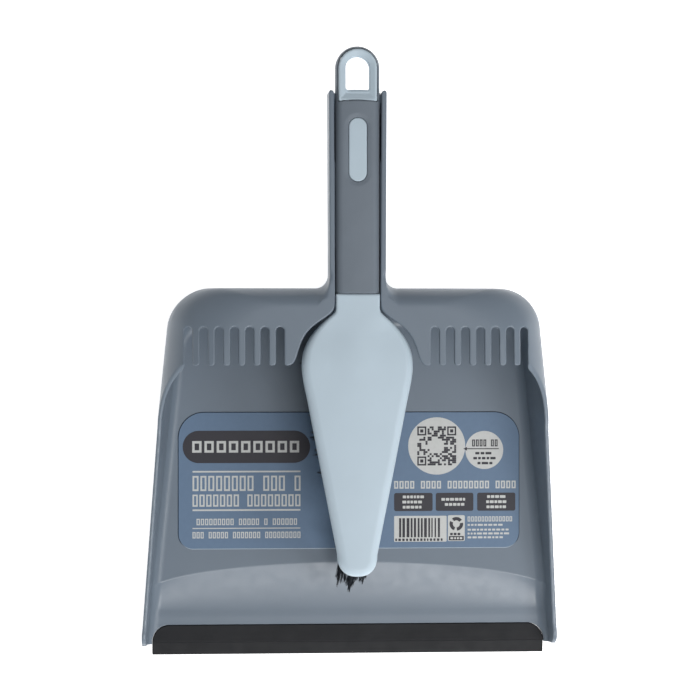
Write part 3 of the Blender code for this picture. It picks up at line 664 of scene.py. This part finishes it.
def card_board(name, rgb, roughness):
    """Printed board: an even tint with a trace of ink mottle.

    Its front-facing edge is painted pale: the board's fibre colour, kept to the front as a painted
    highlight. The other edges are painted dark as a painted shadow line.
    """
    made = Finish(name, rgb, roughness)
    tree = made.tree
    made.colour(made.noise(300, 5), 0.025)
    tint = made.shader.inputs["Base Color"].links[0].from_socket
    geometry = tree.nodes.new("ShaderNodeNewGeometry")
    split = tree.nodes.new("ShaderNodeSeparateXYZ")
    made.link(geometry.outputs["True Normal"], split.inputs[0])
    # edge colour by the true normal: pale fibre with a painted highlight where it faces the front, painted
    # shadow on the other edges
    pale_fibre_painted_highlight, painted_shadow_edge = (0.36, 0.43, 0.50), (0.03, 0.045, 0.07)
    side = made.ramp(split.outputs["Y"], pale_fibre_painted_highlight, painted_shadow_edge, -0.6, -0.3)
    edge = made.ramp(split.outputs["Z"], painted_shadow_edge, rgb, 0.85, 0.95)
    mix = edge.node
    made.link(side, mix.inputs["A"])
    made.link(tint, mix.inputs["B"])
    made.link(edge, made.shader.inputs["Base Color"])
    made.bump(made.noise(700, 4), 0.00001)
    return made.material


def ink(name, rgb, roughness=0.5):
    made = Finish(name, rgb, roughness)
    made.colour(made.noise(500, 4), 0.03)
    made.shine(made.noise(240, 3), 0.05)
    return made.material


# ------------------------------------------------------------ pieces


def made_mesh(name, vertices, faces, smooth=False):
    """A mesh object from vertices in millimetres."""
    mesh = bpy.data.meshes.new(name)
    mesh.from_pydata([tuple(c * MM for c in v) for v in vertices], [], faces)
    mesh.polygons.foreach_set("use_smooth", [smooth] * len(faces))
    mesh.update()
    made = bpy.data.objects.new(name, mesh)
    bpy.context.scene.collection.objects.link(made)
    return made


def finish_piece(piece, finish, body, slot, *nodes):
    piece.data.materials.append(finish)
    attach(piece, body)
    if nodes:
        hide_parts(*nodes)


def tuft_line(node):
    """Centres of a tuft's root and tip, in millimetres, from its CAD solid."""
    points = np.array([v.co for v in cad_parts[node].data.vertices]) / MM
    high, low = points[:, 2].max(), points[:, 2].min()
    root = points[points[:, 2] > high - 0.5].mean(axis=0)
    tip = points[points[:, 2] < low + 0.5].mean(axis=0)
    return root, tip


def filament(centre, radius, turn, first):
    """Vertices and faces of a closed tube through the points of centre, numbered from first."""
    sides, last = 3, len(centre) - 1
    turns = turn + 2 * np.pi * np.arange(sides) / sides
    ring = np.stack([np.cos(turns), np.sin(turns), 0 * turns], axis=1)
    vertices = list((centre[:, None] + radius[:, None, None] * ring).reshape(-1, 3))
    faces = []
    for r in range(last):
        for k in range(sides):
            a, b = first + r * sides + k, first + r * sides + (k + 1) % sides
            faces.append((b, a, a + sides, b + sides))
    faces.append(tuple(first + k for k in range(sides)))
    faces.append(tuple(first + last * sides + k for k in reversed(range(sides))))
    return vertices, faces


def bristles(nodes, clumps, per_clump):
    """Every filament of the brush. Each tuft parts into clumps that splay and end in a fine spike.

    The front tufts reach further forwards, with more clumps and thicker filaments.
    """
    rng = np.random.default_rng(7)
    t = np.linspace(0, 1, 6)
    thin = 1 - 0.7 * np.clip((t - 0.6) / 0.4, 0, 1)
    vertices, faces = [], []
    for node in nodes:
        root, tip = tuft_line(node)
        front = np.clip((-95 - root[1]) / 25, 0, 1)
        near = smooth_step((-70 - root[1]) / 25)
        aside = (0.05 + 0.17 * smooth_step((-25 - root[1]) / 30)) * (1 - near) - 0.2 * front
        count = clumps + int(round(10 * front))
        for c in range(count):
            turn = 2 * np.pi * (c + rng.uniform(-0.3, 0.3)) / count
            out = np.array([np.cos(turn), np.sin(turn), 0.0]) * (c > 0)
            base = root + 1.15 * out
            spread = rng.uniform(2.4 - 2.0 * front, 4.4) * (1 + 0.6 * front)
            point = tip + out * spread * (1 - 0.35 * near, 1, 1)
            point[0] += aside * root[0] + rng.normal(0, 0.6)
            point[1] += rng.normal(0, 0.6) - front * (rng.uniform(0.0, 5.5) + 3.0 * abs(root[0]))
            reach = rng.uniform(0.88, 1.02)
            for i in range(per_clump):
                start = base + rng.normal(0, 0.35, 3) * (1, 1, 0)
                end = point + rng.normal(0, 0.5, 3) * (1, 1, 0)
                end = start + (end - start) * reach * rng.uniform(0.93, 1.0)
                curl = rng.normal(0, 0.7, 3) * (1, 1, 0)
                bend = np.stack([t**1.5, t**1.5, t], axis=1)
                centre = start + (end - start) * bend + curl * (np.sin(np.pi * t) * t)[:, None]
                radius = rng.uniform(0.19, 0.25) * (1 + 0.35 * front) * thin
                more_vertices, more_faces = filament(centre, radius, turn, len(vertices))
                vertices += more_vertices
                faces += more_faces
    return made_mesh("bristles", vertices, faces, smooth=True)


def plate(outlines, low, high, bevel=0.0):
    """Vertices and faces of flat closed plates, one for each outline, which lists its points anticlockwise.

    With bevel, the upper edge slopes in by that much.
    """
    vertices, faces = [], []
    for outline in outlines:
        first, n = len(vertices), len(outline)
        levels = [(low, 0.0), (high, 0.0)]
        if bevel:
            levels = [(low, 0.0), (high - CARD_BEVEL, 0.0), (high, bevel)]
        for z, inset in levels:
            for i in range(n):
                (x0, y0), (x, y), (x1, y1) = outline[i - 1], outline[i], outline[(i + 1) % n]
                along = np.array([x1 - x0, y1 - y0]) / max(np.hypot(x1 - x0, y1 - y0), 1e-9)
                vertices.append((x - along[1] * inset, y + along[0] * inset, z))
        faces.append(tuple(first + i for i in reversed(range(n))))
        faces.append(tuple(first + (len(levels) - 1) * n + i for i in range(n)))
        for level in range(len(levels) - 1):
            for i in range(n):
                a, b = first + level * n + i, first + level * n + (i + 1) % n
                faces.append((a, b, b + n, a + n))
    return vertices, faces


def rounded_box(x0, x1, y0, y1, radius, steps):
    """The outline of a rectangle with round corners, each of so many steps."""
    radius = min(radius, (x1 - x0) / 2 - 1e-3, (y1 - y0) / 2 - 1e-3)
    corners = ((x1, y0, 270, -1, 1), (x1, y1, 0, -1, -1), (x0, y1, 90, 1, -1), (x0, y0, 180, 1, 1))
    outline = []
    for x, y, start, dx, dy in corners:
        outline += arc(x + dx * radius, y + dy * radius, radius, radius, start, start + 90, steps)
    return outline


def label_card():
    """The card: a thin board with round corners, tighter at the front than at the back."""
    back, front = CARD_BACK_RADIUS, CARD_FRONT_RADIUS
    half = arc(CARD_HALF - front, CARD_FRONT + front, front, front, 270, 360, 20)
    half += arc(CARD_HALF - back, CARD_BACK - back, back, back, 0, 90, 28)
    outline = half + [(-x, y) for x, y in reversed(half)]
    return made_mesh("card_board", *plate([outline], CARD_LOW, CARD_LOW + CARD_THICK, 0.4))


def bars(rng, x0, x1, y0, y1, shortest, longest, gap):
    """Plain bars of varied length that fill a line, in place of words."""
    made, x = [], x0
    while x < x1 - shortest:
        end = min(x1, x + rng.uniform(shortest, longest))
        if x1 - end < shortest:
            end = x1
        made.append(rounded_box(x, end, y0, y1, 0.25, 3))
        x = end + gap
    return made


def frames(x0, x1, y0, y1, count, words, stroke):
    """A line of count empty frames, in place of letters. words holds the places that are left blank."""
    pitch = (x1 - x0) / count
    made = []
    for i in range(count):
        if i in words:
            continue
        a, b = x0 + i * pitch, x0 + (i + 1) * pitch - 0.24 * pitch
        middle = (a + b) / 2
        left = [(middle, y0), (middle, y0 + stroke), (a + stroke, y0 + stroke), (a + stroke, y1 - stroke)]
        left += [(middle, y1 - stroke), (middle, y1), (a, y1), (a, y0)]
        right = [(2 * middle + 0.02 - x, y) for x, y in left]
        made += [left[::-1], right]
    return made


def dot_pattern(rng, x, y, half, cells):
    """A square of random dots round an empty middle, with a plain square in three of its corners."""
    size, made = 2 * half / cells, []
    filled = rng.uniform(size=(cells, cells)) < 0.52
    column, row = np.meshgrid(np.arange(cells), np.arange(cells))
    centre = (cells - 1) / 2
    filled &= np.hypot(column - centre, row - centre) > 0.19 * cells
    corner = int(round(0.26 * cells))
    for at_row, at_column in ((0, 0), (0, cells - corner), (cells - corner, 0)):
        filled[at_row : at_row + corner, at_column : at_column + corner] = False
        x0, y1 = x - half + at_column * size, y + half - at_row * size
        wide = (corner - 0.6) * size
        x0, y1 = x0 + 0.6 * size * (at_column > 0), y1 - 0.6 * size * (at_row > 0)
        made += frames(x0, x0 + wide / 0.76, y1 - wide, y1, 1, (), 0.75 * size)
        near, far = 0.32 * wide, 0.68 * wide
        made.append(rounded_box(x0 + near, x0 + far, y1 - far, y1 - near, 0.1, 1))
    for r in range(cells):
        c = 0
        while c < cells:
            end = c
            while end < cells and filled[r, end]:
                end += 1
            if end > c:
                x0, y1 = x - half + c * size, y + half - r * size
                made.append(rounded_box(x0, x0 + (end - c) * size, y1 - 0.96 * size, y1, 0.1, 1))
            c = end + 1
    return made


def card_print():
    """The card's generic print: outlines in white, in dark, and in white over dark.

    It has no words and no marks. Every place is in millimetres in plan.
    """
    rng = np.random.default_rng(11)
    white, dark, over = [], [], []
    # left: a title on a dark panel, then rules and four lines
    left, right = -97.6, -30.6
    dark.append(rounded_box(-103.7, -24.6, -65.9, -45.8, 10, 16))
    over += frames(-97.8, -29.6, -59.4, -52.2, 9, (), 1.5)
    for y, thick in ((-71.2, 0.5), (-95.1, 0.5), (-106.4, 0.3)):
        white.append(rounded_box(left, right, y - thick, y + thick, 0.2, 2))
    white += frames(left, right + 1.2, -83.2, -73.8, 14, (8, 12), 1.05)
    white += frames(left, right + 1.0, -92.9, -85.4, 16, (7,), 0.95)
    white += frames(left + 2.5, right - 1.5, -104.4, -100.4, 24, (9, 15, 17), 0.62)
    white += frames(left, right + 0.6, -112.6, -108.6, 27, (3, 9, 17), 0.62)
    # right, above: a disc with the dot pattern, and a disc with an arrow between lines
    white.append(arc(54.6, -55.6, 17.9, 17.9, 0, 354, 59))
    white.append(arc(84.5, -58.2, 11.9, 11.9, 0, 354, 59))
    dark += dot_pattern(rng, 54.6, -55.6, 12.2, 19)
    dark += frames(76.8, 93.4, -56.0, -51.6, 7, (4,), 0.7)
    arrow_head, arrow_neck = [(71.2, -57.4), (73.6, -58.6)], [(73.6, -57.1), (73.6, -56.2)]
    dark.append(arrow_head + [(73.6, -57.7), (93.6, -57.7), (93.6, -57.1)] + arrow_neck)
    for y, x0, x1 in ((-60.2, 78.8, 90.6), (-63.3, 77.6, 91.6), (-66.4, 80.2, 89.6)):
        dark += bars(rng, x0, x1, y - 0.75, y + 0.75, 1.6, 4.2, 0.7)
    # right, middle: a heading over three dark panels
    white += frames(27.9, 105.0, -82.2, -77.4, 23, (4, 9, 18), 0.85)
    for x0, x1, rows in ((27.9, 52.0, 3), (54.0, 77.6, 2), (80.0, 104.0, 3)):
        dark.append(rounded_box(x0, x1, -96.2, -84.9, 1.2, 6))
        for k in range(rows):
            y, inset = -90.55 + 3.2 * ((rows - 1) / 2 - k), rng.uniform(4.5, 7.5) - 1.5 * (rows == 2)
            over += bars(rng, x0 + inset, x1 - inset, y - 0.85, y + 0.85, 1.2, 2.6, 0.5)
    # right, below: random stripes, three bent arrows over a dark panel, and small print
    white.append(rounded_box(27.9, 60.8, -115.3, -99.2, 0.6, 4))
    x = 31.0
    while x < 57.6:
        width = rng.uniform(0.5, 1.9)
        dark.append(rounded_box(x, x + width, -112.6, -100.6, 0.05, 1))
        x += width + rng.uniform(0.6, 1.2)
    dark += bars(rng, 28.6, 60.0, -114.9, -113.3, 1.0, 1.7, 0.8)
    white.append(rounded_box(61.6, 72.2, -115.0, -98.9, 0.8, 4))
    for start in (35, 155, 275):
        outer = arc(66.9, -104.3, 4.3, 4.3, start, start + 95, 8)
        dark.append(outer + arc(66.9, -104.3, 2.2, 2.2, start + 95, start, 8))
    dark.append(rounded_box(62.2, 71.6, -114.6, -111.9, 0.4, 3))
    dark += bars(rng, 63.0, 70.8, -111.4, -109.9, 1.0, 1.8, 0.6)
    over += bars(rng, 63.2, 70.6, -113.9, -112.6, 1.0, 1.8, 0.6)
    white += frames(74.0, 102.5, -102.9, -99.7, 13, (), 0.55)
    for y in (-105.0, -108.0, -110.4, -112.8):
        white += bars(rng, 74.0, 74 + rng.uniform(20, 29), y - 0.6, y + 0.6, 1.2, 3.4, 0.7)
    return white, dark, over


# ------------------------------------------------------------ the object

HOOD, RIM, HEAD = hood_outline(), rim_outline(), head_outline()

pan_blue = plastic("pan_moulded_plastic", (0.168, 0.208, 0.256), 0.37, 0.000012, Specular_IOR_Level=0.5)
pale_blue = plastic("brush_pale_plastic", (0.515, 0.62, 0.70), 0.48, 0.000006, Specular_IOR_Level=0.3)
grip_grey = soft_rubber("grip_soft_rubber", (0.165, 0.198, 0.238), 0.55)
black_rubber = lip_rubber("lip_black_rubber", (0.012, 0.013, 0.0155), 0.62)
black_nylon = bristle_nylon("bristle_black_nylon", (0.0035, 0.006, 0.0105), 0.42)
board = card_board("card_blue_board", (0.125, 0.198, 0.305), 0.42)
white_ink = ink("card_white_ink", (0.60, 0.61, 0.60))
dark_ink = ink("card_dark_ink", (0.027, 0.026, 0.036), 0.4)

coarse = 0.8
fine = 0.7
pan_keep = 0.27

pan = moulding("pan_moulding", pan_distance, (0, -179, -1), (131, 161, 82), coarse, pan_keep)
finish_piece(pan, pan_blue, "dustpan", "pan_plastic", "pan_shell")
lip = moulding("lip_strip", lip_distance, (0, -187, -1), (124, -165, 4.5), 0.6, 0.5)
finish_piece(lip, black_rubber, "dustpan", "lip_rubber", "rubber_lip")
core = moulding("brush_moulding", core_distance, (0, -133, 60), (35, 187, 86), fine, 0.5)
finish_piece(core, pale_blue, "brush", "pale_blue_plastic", "brush_core")
grip = moulding("grip_moulding", grip_distance, (0, 36, 60), (15, 188, 84), fine, 0.6)
finish_piece(grip, grip_grey, "brush", "grip_rubber", "grip_sleeve")
tufts = sorted(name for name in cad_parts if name.startswith("bristle_tuft"))
finish_piece(bristles(tufts, 7, 11), black_nylon, "brush", "black_bristle", *tufts)
finish_piece(label_card(), board, "card", "printed_card", "label_card")
top = CARD_LOW + CARD_THICK
# each layer's top lies this far above the card
layers = (
    ("card_white_print", white_ink, 0.03),
    ("card_dark_print", dark_ink, 0.05),
    ("card_over_print", white_ink, 0.07),
)
for (name, finish, rise), outlines in zip(layers, card_print()):
    layer = made_mesh(name, *plate(outlines, top + rise - INK_THICK, top + rise))
    finish_piece(layer, finish, "card", "printed_card")

# ------------------------------------------------------------ floor, light and camera, in metres

FLOOR_RINGS = ((5.0, 0.0), (6.2, 0.1), (7.0, 0.35), (7.5, 0.8))  # radius and height
CAMERA_PLACE, CAMERA_AIM = (-0.1146, 0.0043, 1.612), (0.0010, 0.0043, 0.0)
SENSOR_MM, LENS_MM = 36.0, 132.65


def stage_floor():
    """A pale floor with a wide low rim, so that low views end in white too.

    It is bright enough of itself to read as a white table, with only faint shadows.
    """
    sides = 48
    turns = 2 * np.pi * np.arange(sides) / sides
    points = [(r * np.cos(t), r * np.sin(t), height) for r, height in FLOOR_RINGS for t in turns]
    faces = [tuple(range(sides))]
    for ring in range(len(FLOOR_RINGS) - 1):
        for k in range(sides):
            a, b = ring * sides + k, ring * sides + (k + 1) % sides
            faces.append((a, a + sides, b + sides, b))
    mesh = bpy.data.meshes.new("floor")
    mesh.from_pydata(points, [], faces)
    floor = bpy.data.objects.new("floor", mesh)
    bpy.context.scene.collection.objects.link(floor)
    floor.location.z = -0.0004  # just below the pan's underside
    finish = bpy.data.materials.new("floor_white")
    finish.use_nodes = True
    shader = finish.node_tree.nodes["Principled BSDF"]
    shader.inputs["Base Color"].default_value = (0.8, 0.8, 0.8, 1)
    shader.inputs["Roughness"].default_value = 0.9
    shader.inputs["Specular IOR Level"].default_value = 0.0
    shader.inputs["Emission Color"].default_value = (1, 1, 1, 1)
    shader.inputs["Emission Strength"].default_value = 0.88
    mesh.materials.append(finish)


def softbox(name, place, aim, size, power):
    """A square area light of so many watts, at place and turned towards aim."""
    lamp = bpy.data.lights.new(name, "AREA")
    lamp.shape, lamp.size, lamp.energy = "SQUARE", size, power
    made = bpy.data.objects.new(name, lamp)
    bpy.context.scene.collection.objects.link(made)
    made.location = place
    made.rotation_euler = (Vector(aim) - Vector(place)).to_track_quat("-Z", "Y").to_euler()


def white_world(strength):
    world = bpy.data.worlds.new("studio")
    world.use_nodes = True
    background = world.node_tree.nodes["Background"]
    background.inputs["Color"].default_value = (1, 1, 1, 1)
    background.inputs["Strength"].default_value = strength
    bpy.context.scene.world = world


def camera():
    """The photograph's view: nearly straight down at the open pan, with the handle up."""
    place, aim = Vector(CAMERA_PLACE), Vector(CAMERA_AIM)
    back = (place - aim).normalized()
    across = Vector((0, 1, 0)).cross(back).normalized()
    up = back.cross(across)
    data = bpy.data.cameras.new("camera")
    data.sensor_width, data.lens = SENSOR_MM, LENS_MM
    made = bpy.data.objects.new("camera", data)
    bpy.context.scene.collection.objects.link(made)
    made.matrix_world = Matrix.Translation(place) @ Matrix((across, up, back)).transposed().to_4x4()
    bpy.context.scene.camera = made


stage_floor()
white_world(0.195)
softbox("front_box", place=(0.35, -1.12, 1.42), aim=(0, -0.05, 0.03), size=0.7, power=17)
softbox("right_box", place=(0.75, -0.3, 1.0), aim=(0, 0, 0.05), size=0.45, power=4.2)
softbox("top_box", place=(0.25, 0.15, 1.9), aim=(0, 0.05, 0.05), size=0.9, power=3)
camera()
bpy.context.scene.view_settings.view_transform = "Standard"
